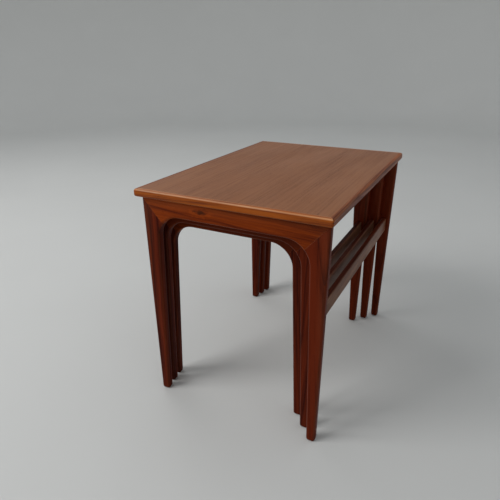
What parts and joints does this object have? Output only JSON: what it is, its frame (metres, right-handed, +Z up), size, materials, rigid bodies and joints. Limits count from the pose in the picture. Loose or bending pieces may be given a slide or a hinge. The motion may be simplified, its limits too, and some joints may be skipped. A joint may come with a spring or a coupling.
{
  "type": "nesting tables",
  "caption": "nest of rectangular teak tables on inverted-U end frames with tapered legs; each smaller table slides in under the next from the open long side",
  "frame": {"origin": "on the floor, below the middle of the largest top, which is the middle of the whole nest's box", "axes": "X along the tops, Y across them from the open side (-Y), where the smaller tables come out, to the back (+Y) with the stretchers, Z up"},
  "size_m": [0.588, 0.412, 0.49],
  "materials": {
    "teak_veneer": "oiled teak veneer, grain along the top",
    "teak_lipping": "oiled solid teak, lighter and more orange",
    "teak_rail": "oiled solid teak, grain along the rail",
    "teak_leg": "oiled solid teak, dark, grain along the leg",
    "teak_stretcher": "oiled solid teak, grain along the stretcher",
    "beech": "bare beech",
    "steel": "plain steel screw"
  },
  "bodies": {
    "large_table": {"large_top_panel": "teak_veneer", "large_lipping_open": "teak_lipping", "large_lipping_back": "teak_lipping", "large_lipping_left": "teak_lipping", "large_lipping_right": "teak_lipping", "large_leg_left_open": "teak_leg", "large_leg_left_back": "teak_leg", "large_leg_right_open": "teak_leg", "large_leg_right_back": "teak_leg", "large_end_rail_left": "teak_rail", "large_end_rail_right": "teak_rail", "large_stretcher": "teak_stretcher", "large_tongue_left_open": "beech", "large_tongue_left_back": "beech", "large_tongue_right_open": "beech", "large_tongue_right_back": "beech", "large_screw_left_open": "steel", "large_screw_left_back": "steel", "large_screw_right_open": "steel", "large_screw_right_back": "steel"},
    "middle_table": {"middle_top_panel": "teak_veneer", "middle_lipping_open": "teak_lipping", "middle_lipping_back": "teak_lipping", "middle_lipping_left": "teak_lipping", "middle_lipping_right": "teak_lipping", "middle_leg_left_open": "teak_leg", "middle_leg_left_back": "teak_leg", "middle_leg_right_open": "teak_leg", "middle_leg_right_back": "teak_leg", "middle_end_rail_left": "teak_rail", "middle_end_rail_right": "teak_rail", "middle_stretcher": "teak_stretcher", "middle_tongue_left_open": "beech", "middle_tongue_left_back": "beech", "middle_tongue_right_open": "beech", "middle_tongue_right_back": "beech", "middle_screw_left_open": "steel", "middle_screw_left_back": "steel", "middle_screw_right_open": "steel", "middle_screw_right_back": "steel"},
    "small_table": {"small_top_panel": "teak_veneer", "small_lipping_open": "teak_lipping", "small_lipping_back": "teak_lipping", "small_lipping_left": "teak_lipping", "small_lipping_right": "teak_lipping", "small_leg_left_open": "teak_leg", "small_leg_left_back": "teak_leg", "small_leg_right_open": "teak_leg", "small_leg_right_back": "teak_leg", "small_end_rail_left": "teak_rail", "small_end_rail_right": "teak_rail", "small_stretcher": "teak_stretcher", "small_tongue_left_open": "beech", "small_tongue_left_back": "beech", "small_tongue_right_open": "beech", "small_tongue_right_back": "beech", "small_screw_left_open": "steel", "small_screw_left_back": "steel", "small_screw_right_open": "steel", "small_screw_right_back": "steel"}
  },
  "joints": [
    {"name": "middle_slide", "type": "slide", "parent": "large_table", "child": "middle_table", "axis": [0, -1, 0], "range_m": [-0.003, 0.42]},
    {"name": "small_slide", "type": "slide", "parent": "middle_table", "child": "small_table", "axis": [0, -1, 0], "range_m": [-0.003, 0.39]}
  ]
}
